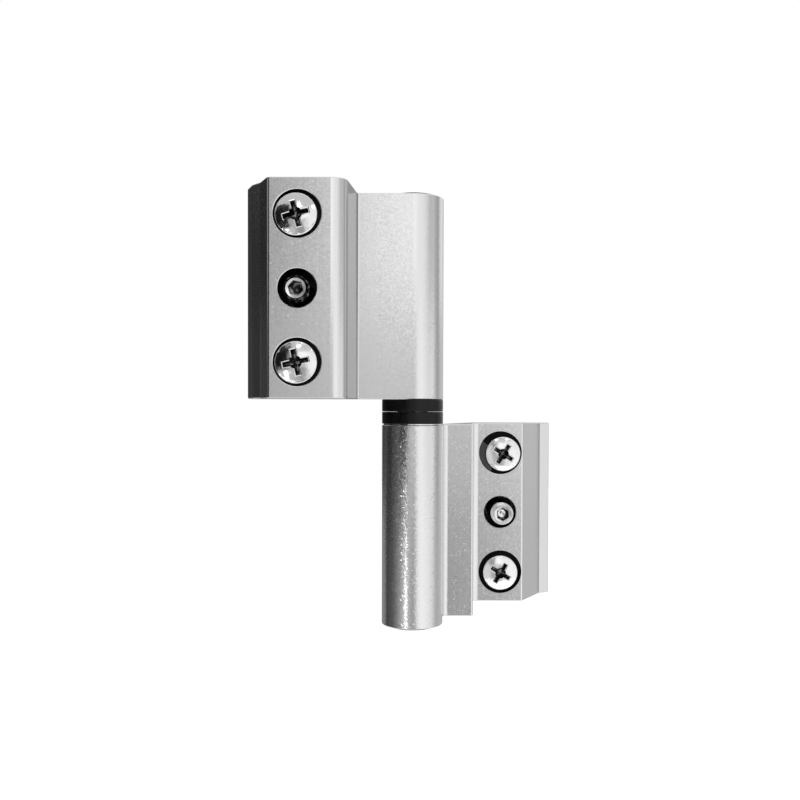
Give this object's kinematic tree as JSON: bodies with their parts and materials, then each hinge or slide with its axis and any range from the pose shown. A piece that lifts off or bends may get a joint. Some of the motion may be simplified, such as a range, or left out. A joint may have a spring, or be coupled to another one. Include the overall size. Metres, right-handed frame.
{
  "type": "flag hinge",
  "caption": "Flag hinge for aluminium door profiles: satin aluminium leaves with raised screw blocks, stepped to either side of the pin, with black nylon bushes and clamp plates behind.",
  "frame": {"origin": "on the pin axis, halfway up the running gap between the nylon discs", "axes": "+Z along the pin axis towards the door leaf's barrel, -Y out of the screw faces with the hinge laid open, +X towards the frame leaf"},
  "size_m": [0.1047, 0.0952, 0.14],
  "materials": {
    "satin_aluminium": "satin",
    "black_nylon": "matte",
    "bright_steel": "bright",
    "zinc_steel": "satin"
  },
  "bodies": {
    "frame_side": {"lower_leaf": "satin_aluminium", "lower_bush": "black_nylon", "thrust_washer": "zinc_steel", "hinge_pin": "zinc_steel", "bottom_cap": "black_nylon", "lower_screw_top": "bright_steel", "lower_screw_bottom": "bright_steel", "lower_set_screw": "bright_steel", "lower_clamp_plate": "zinc_steel"},
    "door_side": {"upper_leaf": "satin_aluminium", "upper_bush": "black_nylon", "top_cap": "black_nylon", "upper_screw_top": "bright_steel", "upper_screw_bottom": "bright_steel", "upper_set_screw": "bright_steel", "upper_clamp_plate": "zinc_steel"}
  },
  "joints": [
    {"name": "door_swing", "type": "hinge", "parent": "frame_side", "child": "door_side", "pos_m": [0, 0, 0], "axis": [0, 0, 1], "range_deg": [0, 180]}
  ]
}
